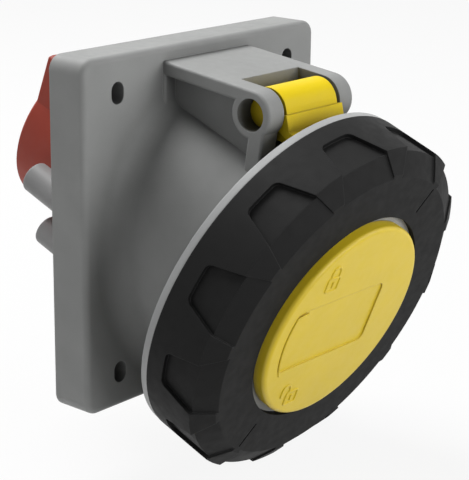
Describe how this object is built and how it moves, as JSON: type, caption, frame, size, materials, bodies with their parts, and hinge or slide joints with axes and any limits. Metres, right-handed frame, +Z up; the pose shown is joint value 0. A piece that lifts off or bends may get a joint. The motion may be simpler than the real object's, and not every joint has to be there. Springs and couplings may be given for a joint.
{
  "type": "industrial panel socket",
  "caption": "Square-flange panel socket with a tilted barrel, a hinged sealing lid and a turning lock ring; pins enter the contacts once the lid is open.",
  "frame": {"origin": "centre of the four fixing slots on the mounting plane (back of the flange)", "axes": "+Y into the panel, +Z up, +X to the right seen from the front; the socket faces -Y and tilts down"},
  "size_m": [0.1126, 0.1348, 0.1278],
  "materials": {
    "housing_grey": "fine moulded texture",
    "retainer_grey": "moulded",
    "ring_grey": "moulded, satin",
    "carrier_dark": "moulded",
    "drum_red": "moulded",
    "seal_black": "soft rubber",
    "grip_black": "fine grained soft grip",
    "lid_yellow": "moulded, satin",
    "disc_yellow": "moulded, satin",
    "contact_brass": "turned",
    "spring_steel": "wire",
    "screw_steel": "zinc plated"
  },
  "bodies": {
    "housing": {"flange_housing": "housing_grey", "bayonet_collar": "housing_grey", "mounting_gasket": "seal_black", "contact_carrier": "carrier_dark", "terminal_carrier": "drum_red", "carrier_flange": "drum_red", "carrier_seal": "seal_black", "carrier_retainer": "retainer_grey", "carrier_screws": "screw_steel", "live_top_sleeve": "contact_brass", "live_top_spring": "spring_steel", "live_top_screws": "screw_steel", "live_left_sleeve": "contact_brass", "live_left_spring": "spring_steel", "live_left_screws": "screw_steel", "earth_sleeve": "contact_brass", "earth_spring": "spring_steel", "earth_screws": "screw_steel", "pilot_sleeve": "contact_brass", "pilot_spring": "spring_steel", "pilot_screws": "screw_steel"},
    "lid": {"lid_cap": "lid_yellow", "lid_gasket": "seal_black", "lid_cover_disc": "disc_yellow"},
    "lock_ring": {"ring_rim": "ring_grey", "bayonet_ring": "ring_grey", "ring_grip": "grip_black"}
  },
  "joints": [
    {"name": "lid_hinge", "type": "hinge", "parent": "housing", "child": "lid", "pos_m": [0, -0.0472, 0.03809], "axis": [-1, 0, 0], "range_deg": [0, 120]},
    {"name": "ring_turn", "type": "hinge", "parent": "lid", "child": "lock_ring", "pos_m": [0, -0.05396, -0.01896], "axis": [0, 0.9304, 0.3665], "range_deg": [0, 100]}
  ]
}
